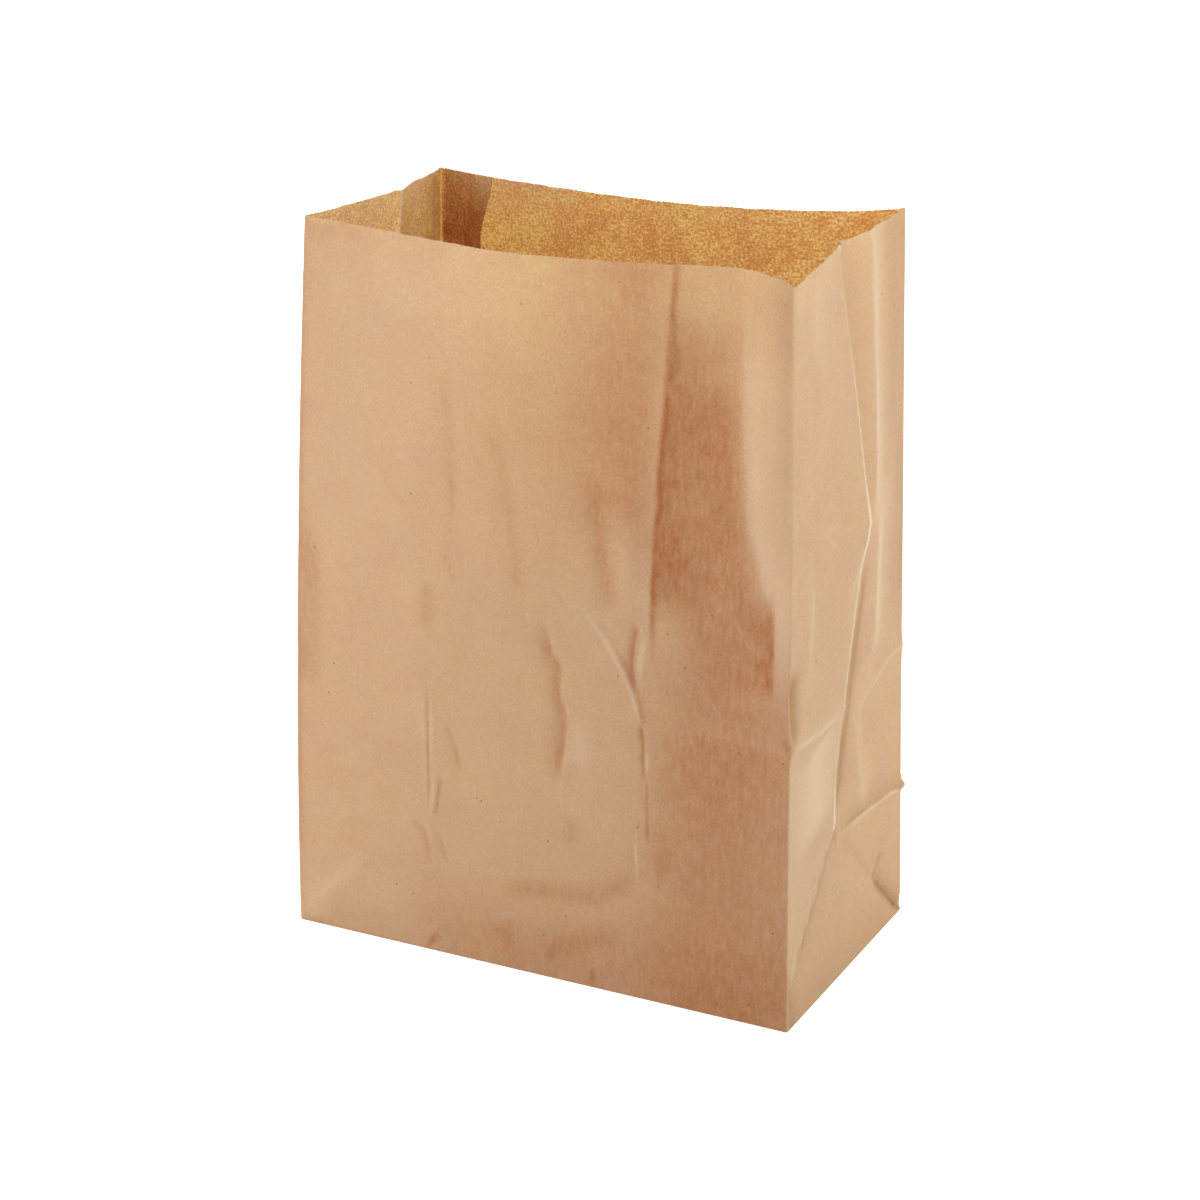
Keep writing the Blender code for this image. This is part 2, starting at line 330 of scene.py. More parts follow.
def near(path, at, up):
    """The distance from a path of points, below zero on the right hand of one who walks along it, and
    how much of an effect along the path is left at its ends."""
    points = np.array(path, float)
    runs = np.diff(points, axis=0)
    lengths = np.linalg.norm(runs, axis=1)
    gone = np.concatenate([[0], np.cumsum(lengths)])
    best = np.full(at.shape, 1e9)
    along = np.zeros(at.shape)
    for k, (point, run) in enumerate(zip(points, runs)):
        x, y = at - point[0], up - point[1]
        part = np.clip((x * run[0] + y * run[1]) / lengths[k] ** 2, 0, 1)
        away = np.hypot(x - part * run[0], y - part * run[1])
        nearer = away < np.abs(best)
        best = np.where(nearer, np.copysign(away, run[0] * y - run[1] * x), best)
        along = np.where(nearer, gone[k] + part * lengths[k], along)
    ends = np.minimum(along, gone[-1] - along) / (FADED_END * gone[-1])
    return best, smooth(0, 1, ends)


def ripples(seed, at, up, wide, tall):
    """A seeded sum of waves between about -1 and 1, which are about so wide and so tall."""
    draw = np.random.default_rng(seed)
    total = np.zeros(at.shape)
    for _ in range(WAVES):
        turn, phase, stretch = draw.uniform(0, 2 * math.pi, 2).tolist() + [draw.uniform(0.7, 1.5)]
        across = 2 * math.pi * math.cos(turn) / (wide * stretch)
        upward = 2 * math.pi * math.sin(turn) / (tall * stretch)
        total += np.cos(across * at + upward * up + phase)
    return total / math.sqrt(WAVES / 2) / 1.6


def unevenness(waves, side, at, up):
    """One of the kinds of waves above, as it lies on a side."""
    depth, seed, wide, tall = waves
    return depth * ripples(seed + side, at, up, wide, tall)


def relief(side, at, up):
    """How far the paper stands out of its smooth form, after folding, packing and opening."""
    width = side_length(side)
    edge = np.minimum(at, width - at)
    calm = smooth(0, CALM_BY_FOLD, edge) * smooth(0, CALM_BY_FOOT, up)
    out = calm * (unevenness(BROAD_WAVES, side, at, up) + unevenness(SMALL_WAVES, side, at, up))
    patch = np.clip(unevenness(CREASED_PATCHES, side, at, up), 0, 1)
    depth = FINE_CREASES[0]
    line = np.abs(unevenness(FINE_CREASES, side, at, up)) / depth
    out -= depth * calm * patch * (1 - np.clip(line * 3, 0, 1))
    for rise, reach_before, reach_after, path in FOLDS[side]:
        away, left = near(path, at, up)
        out += rise * left * np.exp(-np.abs(away) / np.where(away < 0, reach_before, reach_after))
    for rise, reach, path in SWELLS[side]:
        away, left = near(path, at, up)
        out += rise * left * bell(away, reach) * smooth(0, 10, edge)
    for rise, middle, height, across, tall in DENTS[side]:
        out += rise * np.exp(-(((at - middle) / across) ** 2) - ((up - height) / tall) ** 2)
    over = up - level_fold(side, at)
    pressed_in = LEVEL_FOLD * rear_share(side, at) * smooth(0, 8, edge)
    out -= pressed_in * smooth(-1.6, 0, over) * np.exp(-np.abs(over) / LEVEL_FOLD_REACH)
    return out * smooth(0, 3, up)


# Where the bottom's layers step over each other: how far in from the back its flap comes onto the
# front's, and how far from the middle the gussets' short flaps come onto these. The short flaps lie
# FOLD_TUCK in from the long sides, and the bend at the foot reaches FOOT_BEND either way.
OVER_FRONT_FLAP = (34, 42)
OVER_LONG_FLAPS = (11, 19)
FOLD_TUCK = 0.25
FOOT_BEND = 0.5


def bottom(side, at, deep, lap=False):
    """A point of the tube's end, which is folded into the bottom: deep is how far in from the foot. The
    ends of the long flaps fold back under at 45 degrees, and join them to the short flaps."""
    if side in (FRONT, BACK):
        way = -1 if side == FRONT else 1
        edge = np.minimum(at, PANEL - at)
        folded = edge < deep - SAME
        in_from_end = np.where(folded, deep, edge)
        in_from_side = np.where(folded, edge + FOLD_TUCK, deep)
        x = np.where(at < PANEL / 2, way, -way) * (PANEL / 2 - in_from_end)
        y = way * (GUSSET / 2 - in_from_side)
        level = np.where(folded, 1.0, 0.0)
        if side == BACK:
            over_front = 2 * smooth(*OVER_FRONT_FLAP, in_from_side)
            by_lap = smooth(LAP + 3, LAP, edge) * (at > PANEL / 2)
            level = np.where(folded, 2.0, 1.0) if lap else level + np.where(folded, 2 * by_lap, 0)
            level = level + over_front
        level = np.where(np.abs(edge - deep) < SAME, level + 0.5, level)
    else:
        way = 1 if side == RIGHT else -1
        x = way * (PANEL / 2 - deep)
        y = way * (at - GUSSET / 2) * (1 - 2 * FOLD_TUCK / GUSSET)
        nearer, further = OVER_LONG_FLAPS
        level = 2 + 2 * smooth(-further, -nearer, y)
        if side == RIGHT:
            level = level - 2 * smooth(nearer, further, y)
    return np.stack([x, y, PAPER / 2 + (PAPER + LAYER_GAP) * level * smooth(0, 2.5, deep)], -1)


def flat_or_upright(side, at, up, lap=False):
    """A point of the sheet with its folds still sharp: in a wall above the foot, in the bottom below."""
    place = np.zeros(at.shape + (3,))
    high = up >= 0
    place[high] = wall(side, at[high], up[high], PAPER + LAYER_GAP if lap else 0)
    place[high, 2] += PAPER / 2
    place[~high] = bottom(side, at[~high], -up[~high], lap)
    return place


def curve(t, before, tip, after):
    """A curve that leaves before towards tip and comes from tip to after, for t from 0 to 1."""
    t = t[..., None]
    return (1 - t) ** 2 * before + 2 * t * (1 - t) * tip + t**2 * after


def walls_bent(along, up):
    """Points of the sheet with its four upright folds rounded."""
    past = counted_round(along)
    side = np.clip(np.searchsorted(FOLD_AT, past, "right") - 1, LEFT, BACK)
    place = np.zeros(along.shape + (3,))
    for k in (LEFT, FRONT, RIGHT, BACK):
        for lap in (False, True):
            here = (side == k) & ((along < 0) == lap)
            if here.any():
                place[here] = flat_or_upright(k, past[here] - FOLD_AT[k], up[here], lap)
    for k, fold in enumerate(FOLD_AT):
        share = np.clip(up / HEIGHT, 0, 1)
        reach = FOOT_ROUND + (MOUTH_ROUND[k] - FOOT_ROUND) * share
        here = np.abs(along - fold) < reach
        high, r = up[here], reach[here]
        last = (k + 3) % 4
        width = side_length(last)
        ends = [flat_or_upright(last, width - gap, high, lap=k == LEFT) for gap in (r, 0 * r)]
        starts = [flat_or_upright(k, gap, high) for gap in (0 * r, r)]
        corner = upright_fold(k, high) + [0, 0, PAPER / 2]
        tip = np.where((high >= 0)[:, None], ends[1] + starts[0] - corner, (ends[1] + starts[0]) / 2)
        place[here] = curve((along[here] - fold + r) / (2 * r), ends[0], tip, starts[1])
    return place


def sheet(along, up):
    """Points of the folded sheet, in millimetres in the bag's frame."""
    place = walls_bent(along, up)
    here = np.abs(up) < FOOT_BEND
    row = along[here]
    low, foot, high = (walls_bent(row, np.full(row.shape, x)) for x in (-FOOT_BEND, 0, FOOT_BEND))
    place[here] = curve((up[here] + FOOT_BEND) / (2 * FOOT_BEND), low, foot, high)
    return place


def graded(start, end, first, last, most):
    """Places from start to end, spaced by about first and last at the two ends and most between."""
    x = np.linspace(start, end, 800)
    from_ends = np.minimum(first + SPACING_GROWTH * (x - start), last + SPACING_GROWTH * (end - x))
    spacing = np.minimum(most, from_ends)
    passed = np.concatenate([[0], np.cumsum(np.diff(x) * 2 / (spacing[1:] + spacing[:-1]))])
    return np.interp(np.linspace(0, passed[-1], math.ceil(passed[-1]) + 1), passed, x)


def joined(*runs):
    """Runs of places one after another, each shared end given once."""
    return np.concatenate([runs[0]] + [run[1:] for run in runs[1:]])


# Rows and columns of the mesh. They crowd together beside folds, and a gusset's columns are spaced as
# the rows below its point are, so that the diagonal folds run through corners of the mesh.
SPACING_GROWTH = 0.35
FINE = 0.35
DIAGONAL = graded(0, POINT, FINE, FINE, 2.4)
GUSSET_COLUMNS = joined(DIAGONAL, GUSSET - DIAGONAL[::-1])
FRONT_COLUMNS = joined(
    graded(0, 50, FINE, 0.8, 2.4),
    graded(50, 72, 0.7, 0.7, 0.7),
    graded(72, 104, 0.8, 0.8, 2.2),
    graded(104, 117, 0.8, 0.8, 0.8),
    graded(117, 132, 0.7, 0.6, 1.2),
    graded(132, 148, 0.5, 0.4, 0.5),
    graded(148, 157, 0.35, 1.0, 1.0),
    graded(157, 188, 1.0, 0.8, 1.8),
    graded(188, PANEL, 0.7, FINE, 0.9),
)
BACK_COLUMNS = joined(
    graded(0, PANEL - LAP, FINE, 0.6, 4.2),
    graded(PANEL - LAP, PANEL - LAP_SHORT, 0.6, 0.6, 3.5),
)
LAP_COLUMNS = graded(-LAP, 0, 0.6, FINE, 3.5)
WALL_ROWS = joined(
    DIAGONAL,
    graded(POINT, GUSSET, FINE, 0.8, 2.4),
    graded(GUSSET, 150, 0.8, 2.0, 2.0),
    graded(150, HEIGHT - 1.2, 2.0, 0.5, 4.2),
    np.array([HEIGHT - 1.2, HEIGHT - 0.7]),
)
FLAP_ROWS = joined(
    graded(0, LAP_SHORT, FINE, 0.7, 0.7),
    graded(LAP_SHORT, LAP, 0.8, 5, 5),
    graded(LAP, BOTTOM_REACH, 5, 5, 5),
)

# The front's column that is moved onto the long crease, and the height from which the lap flares
LONG_CREASE_COLUMN = 147
LAP_FLARES_FROM = 248

# The mouth's cut edge: a quarter of the pitch of its teeth, half their depth, and how the cut wavers
TOOTH = 0.5
TOOTH_DEPTH = 0.07
CUT_WAVER = 0.1
CUT_WAVER_LENGTH = 9


def columns_of(gusset, front, back, lap):
    """All of a row's places round the sheet, from its parts."""
    return joined(lap, gusset, FOLD_AT[FRONT] + front, FOLD_AT[RIGHT] + gusset, FOLD_AT[BACK] + back)


def following_level_fold(along, up):
    """The row at this height, with those by the level fold moved down onto it."""
    past = counted_round(along)
    rear = np.select(
        [past <= GUSSET, past < FOLD_AT[RIGHT], past <= FOLD_AT[BACK]],
        [rear_share(LEFT, past), 0 * past, rear_share(RIGHT, past - FOLD_AT[RIGHT])],
        1.0,
    )
    return up - LEVEL_FOLD_SAG * rear * smooth(12, 0, abs(up - POINT))


def following_creases(along, up):
    """Moves the columns by the long crease and the gussets' creases onto them at this height."""
    moved = along.copy()
    for side, table, column, middle, reach in (
        (LEFT, LEFT_CREASE, 2, POINT, 30),
        (FRONT, LONG_CREASE, 1, LONG_CREASE_COLUMN, 22),
        (RIGHT, RIGHT_CREASE, 2, POINT, 30),
    ):
        away = np.abs(along - FOLD_AT[side] - middle)
        shift = between(table, max(up, 0), column) - middle
        moved += shift * np.clip(1 - away / reach, 0, 1) * smooth(0, 25, up - POINT)
    return np.where(moved < 0, moved * (1 + LAP_FLARE * smooth(LAP_FLARES_FROM, HEIGHT, up)), moved)


def zipped(low, high, low_at, high_at):
    """Faces between two rows with unlike columns: quads where both move on together, else triangles."""
    faces, i, j = [], 0, 0
    while i < len(low) - 1 or j < len(high) - 1:
        next_low = low_at[i + 1] if i < len(low) - 1 else 1e9
        next_high = high_at[j + 1] if j < len(high) - 1 else 1e9
        if abs(next_low - next_high) < 0.02:
            faces.append((low[i], low[i + 1], high[j + 1], high[j]))
            i, j = i + 1, j + 1
        elif next_low < next_high:
            faces.append((low[i], low[i + 1], high[j]))
            i += 1
        else:
            faces.append((low[i], high[j + 1], high[j]))
            j += 1
    return faces


def sheet_rows():
    """Each row of the mesh as its places along the sheet and its heights on it, from the flaps' cut
    edge up to the toothed edge of the mouth."""
    flap_half = FLAP_ROWS[FLAP_ROWS < PANEL / 2]
    middle = graded(BOTTOM_REACH, PANEL - BOTTOM_REACH, 5, 5, 7)
    long_side = joined(flap_half, middle, PANEL - flap_half[::-1])
    flap_columns = columns_of(
        graded(0, GUSSET, FINE, FINE, 6),
        long_side,
        long_side[long_side <= PANEL - LAP_SHORT + SAME],
        -flap_half[flap_half <= LAP + SAME][::-1],
    )
    rows = [(flap_columns, np.full(flap_columns.shape, -deep)) for deep in FLAP_ROWS[:0:-1]]
    columns = columns_of(GUSSET_COLUMNS, FRONT_COLUMNS, BACK_COLUMNS, LAP_COLUMNS)
    for up in WALL_ROWS:
        moved = following_creases(columns, up)
        rows.append((moved, following_level_fold(moved, up)))
    count = round((SHEET_END - SHEET_START) / TOOTH)
    edge = np.linspace(SHEET_START * (1 + LAP_FLARE), SHEET_END, count + 1)
    teeth = np.where(np.arange(count + 1) // 2 % 2, TOOTH_DEPTH, -TOOTH_DEPTH)
    waver = CUT_WAVER * ripples(7, edge, 0 * edge, CUT_WAVER_LENGTH, CUT_WAVER_LENGTH)
    rows.append((edge, HEIGHT + teeth + waver))
    return rows


def sheet_faces(rows):
    """Faces between the rows, and cut from corner to corner where a gusset's diagonal fold crosses."""
    faces, start = [], 0
    for (low_at, low_up), (high_at, high_up) in zip(rows, rows[1:]):
        low = range(start, start + len(low_at))
        start += len(low_at)
        high = range(start, start + len(high_at))
        if len(low_at) != len(high_at):
            faces += zipped(low, high, low_at, high_at)
            continue
        for k in range(len(low_at) - 1):
            corners = (low[k], low[k + 1], high[k + 1], high[k])
            cut = diagonal_of(low_at[k:k + 2], (low_up.max(), high_up.max()))
            if cut is None:
                faces.append(corners)
            else:
                turned = corners[cut:] + corners[:cut]
                faces += [turned[:3], (turned[0], turned[2], turned[3])]
    return faces


def diagonal_of(ats, ups):
    """The corner that a fold at 45 degrees leaves from in this cell, or None if it crosses none."""
    for side in (LEFT, RIGHT):
        at = ats - FOLD_AT[side]
        if 0 <= ups[0] < POINT - SAME and -SAME < at[0] and at[1] < GUSSET + SAME:
            if abs(at[0] - ups[0]) < SAME and abs(at[1] - ups[1]) < SAME:
                return 0
            if abs(GUSSET - at[1] - ups[0]) < SAME and abs(GUSSET - at[0] - ups[1]) < SAME:
                return 1
    if ups[1] > SAME:
        return None
    for fold in (*FOLD_AT, ROUND):
        for way in (-1, 1):
            at = way * (ats - fold)
            if abs(at[0] + ups[0]) < SAME and abs(at[1] + ups[1]) < SAME:
                return 0
            if abs(at[0] + ups[1]) < SAME and abs(at[1] + ups[0]) < SAME:
                return 1
    return None


# Where the paper is painted paler: rubbed by handling along creases and folds, and painted highlights on
# ridges and on facets turned to the lamps. Share, the two reaches as for a fold, and path
RUBBED_AND_HIGHLIT_AT = {FRONT: (
    (0.55, 0.7, 0.7, ((120, 151), (131, 137), (137, 127), (141, 118), (144.5, 107))),
    (0.3, 0.7, 0.7, ((142.3, 65), (143.6, 48))),
    (0.5, 0.9, 0.9, ((146.4, 97), (146.6, 91))),
    (0.4, 1, 1, ((144.4, 141), (142.4, 125))),
    (0.1, 3, 0.7, ((152, 262), (149.5, 225), (147.9, 190), (146.7, 160), (146, 138))),
    (0.15, 0.8, 0.8, ((56, 106), (56, 60))),
    (0.12, 0.7, 0.7, ((59.6, 102), (59.6, 74))),
    (0.3, 0.8, 0.8, ((60.6, 70), (59, 57))),
    (0.25, 3.5, 3.5, ((121, 106), (121, 86))),
    (0.12, 26, 26, ((20, 270), (100, 262), (190, 262))),
    (0.3, 1.5, 18, ((177, 262), (179, 215), (182, 185), (194, 158), (194.2, 124))),
    (0.2, 3, 3, ((3, 4), (14, 17), (30, 32))),
), RIGHT: (
    (0.4, 0.5, 10, RIGHT_RIDGE),
    (0.42, 0.5, 7, ((59, 180), (67, 163), (70.5, 152), (74, 140), (80, 112))),
    (0.5, 0.8, 0.8, ((-2, 111), (12, 108.3), (30, 106), (62, 104))),
    (0.4, 0.9, 0.9, ((67, 96), (72, 101), (85, 105), (96, 109), (114, 109.5))),
    (0.25, 0.8, 5, ((68.5, 99), (70, 85), (74, 70), (79, 52))),
    (0.4, 0.8, 0.8, ((57, 51.8), (80, 51.3), (114, 51.5))),
    (0.36, 20, 20, ((26, 104), (34, 62))),
    (0.3, 1.2, 1.2, ((13, 176), (15, 160), (17.8, 124))),
    (0.3, 1.4, 1.4, ((47, 146), (49, 156), (56, 170))),
    (0.2, 4, 6, ((24, 272), (24, 240))),
), BACK: (
    (0.35, 9, 9, ((188, 275), (130, 277))),
    (0.4, 0.8, 0.8, ((148.5, 126), (147, 104), (149, 68))),
    (0.4, 0.7, 0.7, ((-3, 51.4), (100, 51.6), (203, 51.4))),
), LEFT: (
    (0.3, 8, 0.6, LEFT_RIDGE),
    (0.12, 22, 26, ((80, 310), (82, 180))),
    (0.4, 0.7, 0.7, ((-3, 51.4), (50, 51.6))),
)}

# Where the paper is painted darker: bruises where it was bent, and painted shade beside creases, in
# hollows and on facets turned from the lamps. Redder on the front, duller on the other sides
BRUISED_AND_SHADED_AT = {FRONT: (
    (0.85, 0.9, 1.3, ((153, 290), (150.6, 233), (148.8, 200), (147.8, 172), (147.3, 150), (147.3, 128))),
    (0.6, 1, 20, ((151.5, 262), (150.5, 235), (149, 210), (148, 185), (147.4, 146))),
    (0.45, 8, 20, ((149, 188), (153, 166), (166, 144), (187, 124))),
    (0.55, 13, 6, ((168, 240), (171, 212), (174, 185), (181, 160), (189, 138))),
    (0.75, 6, 0.6, ((192.6, 163), (193.1, 150), (192.8, 124))),
    (0.42, 22, 12, ((140, 290), (138, 245), (137, 218), (138, 168))),
    (0.35, 4, 3, ((125, 200), (128, 172), (133, 148))),
    (0.22, 1.5, 4.5, ((84, 218), (90, 192), (95, 165), (96, 145))),
    (0.12, 3, 3, ((65, 228), (70, 200), (70, 176))),
    (0.5, 1.8, 1.2, ((142, 146), (140.5, 137), (139.6, 128), (141, 119))),
    (0.5, 0.6, 1.4, ((134, 135), (139, 126.5), (142.4, 117.6), (145.6, 107))),
    (0.6, 0.8, 0.8, ((143.5, 110), (144.8, 100), (145, 87))),
    (0.45, 0.6, 0.6, ((146.4, 89), (147.4, 61))),
    (0.38, 4, 0.9, ((106.5, 144), (109, 130), (112.5, 125), (111.7, 115), (115, 105), (113.2, 92),
                    (110.8, 77))),
    (0.48, 24, 50, ((176, 158), (172, 95), (170, 40), (168, -30))),
    (0.3, 4.5, 4.5, ((84, 32), (110, 35.5), (127, 37), (139, 45), (144, 52))),
    (0.28, 4, 4, ((103, 8), (120, 17.5), (138, 25))),
    (0.36, 22, 22, ((40, 2), (120, 8), (240, 14))),
    (0.45, 0.7, 0.7, ((58, 111), (57.7, 90), (57.6, 58))),
    (0.45, 0.8, 0.8, ((62.8, 73), (61.5, 63), (60.3, 55))),
    (0.3, 1.2, 1.2, ((49, 53), (55, 49), (57.4, 42), (57, 37))),
    (0.3, 0.8, 0.8, ((61.2, 51), (62.7, 44), (65.5, 38))),
    (0.35, 0.9, 0.9, ((65, 94), (69.5, 86), (71, 76))),
    (0.35, 0.8, 0.8, ((69.2, 190), (70.7, 176))),
    (0.35, 0.9, 0.9, ((66, 162), (70.6, 151))),
    (0.25, 3, 3, ((59, 150), (57, 130))),
    (0.2, 40, 0.5, ((143, 105.2), (175, 106.3), (212, 107.8))),
    (0.25, 4, 4, ((116, 68), (117, 56))),
    (0.3, 3, 3, ((151, 70), (154, 48))),
    (0.3, 4, 4, ((86, 18), (92, 6))),
    (0.45, 2.5, 2.5, ((0, 290), (0, 2))),
    (0.22, 8, 8, ((-12, 272), (76, 272))),
    (0.25, 6, 6, ((1, 163), (5, 148), (7, 130), (5, 95))),
    (0.6, 0.9, 0.9, ((54.6, -2), (57.8, 4), (62, 8.5))),
    (0.6, 0.9, 0.9, ((124.7, 9), (125.2, -2))),
    (0.5, 1.6, 1.6, ((198, 113), (203, 108))),
), RIGHT: (
    (0.22, 0.3, 12, ((54.9, 290), (56.1, 221), (54.8, 190), (55.9, 174))),
    (0.55, 0.3, 6, ((56.2, 166), (56.6, 125), (57, 90), (56, 58))),
    (0.9, 0.7, 1.5, ((57.4, 168), (57.8, 150), (58.6, 125), (59, 100), (58.4, 75), (56.6, 58))),
    (0.35, 1, 1, ((60, 51), (75, 36), (87, 23))),
    (0.75, 0.8, 2.4, ((54, 54.5), (44, 50), (33, 42), (25, 36), (7, 22))),
    (0.12, 0.8, 26, ((62, 60), (44, 50), (33, 42), (25, 36), (2, 18))),
    (0.4, 0.8, 5, ((58, 52.6), (82, 52.3), (116, 52.5))),
    (0.32, 18, 18, ((-30, 1), (140, 1))),
    (0.35, 11, 20, ((100, 310), (98, 200), (100, 150), (103, 110))),
    (1, 1.6, 1.6, ((86, 23), (95, 14), (104, 5), (114, -4))),
    (0.6, 1, 1.2, ((94, 32), (86, 21))),
    (0.95, 3, 6, ((0.5, 140), (1.5, 124), (3, 109))),
    (0.4, 2.5, 2.5, ((52, 55), (58, 51))),
    (0.3, 1.4, 1.4, ((64, 53.2), (84, 52.8))),
    (0.6, 4, 5, ((-2, 24), (6, -6))),
    (0.2, 1, 1, ((104.5, 218), (106, 150), (105, 98))),
), BACK: (
    (0.3, 0.8, 0.8, ((116, 185), (115, 165), (117, 122))),
    (0.3, 16, 16, ((30, 16), (80, 12))),
    (0.3, 3, 1.2, ((60, 240), (63, 175), (62, 145))),
), LEFT: (
    (0.4, 5, 0.3, ((53.4, 156), (54, 110), (54.6, 60))),
    (0.6, 1.1, 1.1, ((23, 23), (13, 12), (-3, -3))),
)}

# How pale the upright folds are worn, from the back left one round to it again, and the gussets' slanting
# diagonals above a height, and how far from a fold or a centre crease that reaches
FOLDS_WORN = (0.35, 0.1, 0.3, 0.5, 0.35)
DIAGONAL_WORN = 0.6
DIAGONAL_WORN_FROM = 16
DIAGONAL_SLANT = 0.7
FOLD_WORN_REACH = 0.6
CREASE_WORN_REACH = 0.8

# How far painted contact shade, with some wear, darkens the foot's fold where it meets the floor, and how
# far the lap is darkened by its glue, which is thinner by the mouth
FOOT_PAINTED_SHADE = 0.35
FOOT_PAINTED_SHADE_REACH = 0.8
LAP_GLUE = 0.9
GLUE_GONE_BY_MOUTH = 0.6
GLUE_THINS_FROM = HEIGHT - 26

# Where a painted golden glow, standing in for light that comes through the sheet, lies in the paper's
# reflected colour: on the inside from the middle of the right gusset round to the lap, and fainter
# elsewhere, and on the outside only in the upper part of the front
PAINTED_GLOW_ELSEWHERE = 0.3
PAINTED_GLOW_FRONT_UP = (140, 230)
PAINTED_GLOW_FRONT_LEFT = (15, 110)
PAINTED_GLOW_FRONT_RIGHT = (198, 182)


def marked(table, side, at, up):
    """A side's marks laid over one another, from 0 to 1 at each place."""
    mark = np.zeros(at.shape)
    for share, reach_before, reach_after, path in table[side]:
        away, left = near(path, at, up)
        reach = np.where(away < 0, reach_before, reach_after)
        mark = 1 - (1 - mark) * (1 - share * left * bell(away, reach))
    return mark


def sides_marked(table, along, up):
    """A table's marks for the whole sheet."""
    past = counted_round(along)
    mark = np.zeros(along.shape)
    for side in (LEFT, FRONT, RIGHT, BACK):
        here = (past >= FOLD_AT[side]) & (past <= FOLD_AT[side] + side_length(side)) & (up > -1)
        mark[here] = np.maximum(mark[here], marked(table, side, past[here] - FOLD_AT[side], up[here]))
    return mark


def rubbed_and_highlit(along, up):
    """How pale the paper is worn, above all on its sharp folds, with painted highlights, from 0 to 1."""
    worn_and_highlit = sides_marked(RUBBED_AND_HIGHLIT_AT, along, up)
    past = counted_round(along)
    far = 9
    for fold, share in zip((*FOLD_AT, ROUND), FOLDS_WORN):
        worn_and_highlit = np.maximum(worn_and_highlit, share * bell(past - fold, FOLD_WORN_REACH))
    for side, table in ((LEFT, LEFT_CREASE), (RIGHT, RIGHT_CREASE)):
        at = past - FOLD_AT[side]
        here = (at > 0) & (at < GUSSET)
        crease = np.where(up > POINT, np.abs(at - between(table, up, 2)), far)
        worn_and_highlit = np.maximum(worn_and_highlit, here * bell(crease, CREASE_WORN_REACH))
        front_way = at if side == RIGHT else GUSSET - at
        to_diagonal = np.abs(front_way - between(FRONT_DIAGONAL, up)) * DIAGONAL_SLANT
        diagonal = np.where((up < POINT) & (up > DIAGONAL_WORN_FROM), to_diagonal, far)
        worn_and_highlit = np.maximum(worn_and_highlit, here * DIAGONAL_WORN * bell(diagonal, FOLD_WORN_REACH))
    return worn_and_highlit


def placed(name, data):
    """A new object of this name in the scene."""
    item = bpy.data.objects.new(name, data)
    bpy.context.scene.collection.objects.link(item)
    return item


def corner_vertices(mesh):
    """The vertex at each corner of each face."""
    vertices = np.zeros(len(mesh.loops), int)
    mesh.loops.foreach_get("vertex_index", vertices)
    return vertices


# The folded sheet
rows = sheet_rows()
along = np.concatenate([row[0] for row in rows])
up = np.concatenate([row[1] for row in rows])
places = sheet(along, up) * MM
mesh = bpy.data.meshes.new("flat_sheet")
mesh.from_pydata(places.tolist(), [], sheet_faces(rows))
mesh.update()

# Its marks, as shares at its vertices: rubbing with painted highlights, bruises with painted shade, and a
# painted golden glow
bruised_and_shaded = sides_marked(BRUISED_AND_SHADED_AT, along, up)
bruised_and_shaded = np.maximum(bruised_and_shaded, FOOT_PAINTED_SHADE * bell(up, FOOT_PAINTED_SHADE_REACH))
glue_left = 1 - GLUE_GONE_BY_MOUTH * smooth(GLUE_THINS_FROM, HEIGHT, up)
bruised_and_shaded = np.maximum(bruised_and_shaded, LAP_GLUE * smooth(-0.5, -1.5, along) * glue_left)
on_front = smooth(-0.3, 0.3, along - FOLD_AT[FRONT]) * smooth(0.3, -0.3, along - FOLD_AT[RIGHT])
reddish = np.where(along < 0, 1, on_front)
in_rear = (along < 0) | (along > FOLD_AT[RIGHT] + POINT)
from_left = along - FOLD_AT[FRONT]
painted_glow_front = smooth(*PAINTED_GLOW_FRONT_LEFT, from_left) * smooth(*PAINTED_GLOW_FRONT_RIGHT, from_left)
for name, shares in (
    ("rubbed_and_highlit", rubbed_and_highlit(along, up)),
    ("bruised_and_shaded", bruised_and_shaded * reddish),
    ("dulled_and_shaded", bruised_and_shaded * (1 - reddish)),
    ("painted_glow_inside", np.where(in_rear, 1.0, PAINTED_GLOW_ELSEWHERE)),
    ("painted_glow_outside", smooth(*PAINTED_GLOW_FRONT_UP, up) * painted_glow_front),
):
    mesh.attributes.new(name, "FLOAT", "POINT").data.foreach_set("value", shares)

# Its flat layout, in millimetres, which the paper's look is laid out on
sheet_map = mesh.uv_layers.new(name="sheet")
sheet_map.data.foreach_set("uv", np.stack([along, up], -1)[corner_vertices(mesh)].ravel())
bag = placed("paper_bag_sheet", mesh)

# Its thickness: the outside and the inside are two copies of it, joined round the cut edges
thickness = bag.modifiers.new("paper_thickness", "SOLIDIFY")
thickness.thickness = PAPER * MM
thickness.offset = 0
bpy.context.view_layer.update()
side_faces = len(mesh.polygons)
side_vertices = len(mesh.vertices)
mesh = bpy.data.meshes.new_from_object(bag.evaluated_get(bpy.context.evaluated_depsgraph_get()))
mesh.name = "paper_bag_sheet"
bag.modifiers.clear()
bag.data = mesh
mesh.polygons.foreach_set("use_smooth", np.ones(len(mesh.polygons), bool))
mesh.set_sharp_from_angle(angle=math.radians(40))
OUTSIDE, INSIDE, CUT_EDGE = range(3)
face_kinds = np.full(len(mesh.polygons), CUT_EDGE)
face_kinds[:side_faces] = OUTSIDE
face_kinds[side_faces:2 * side_faces] = INSIDE

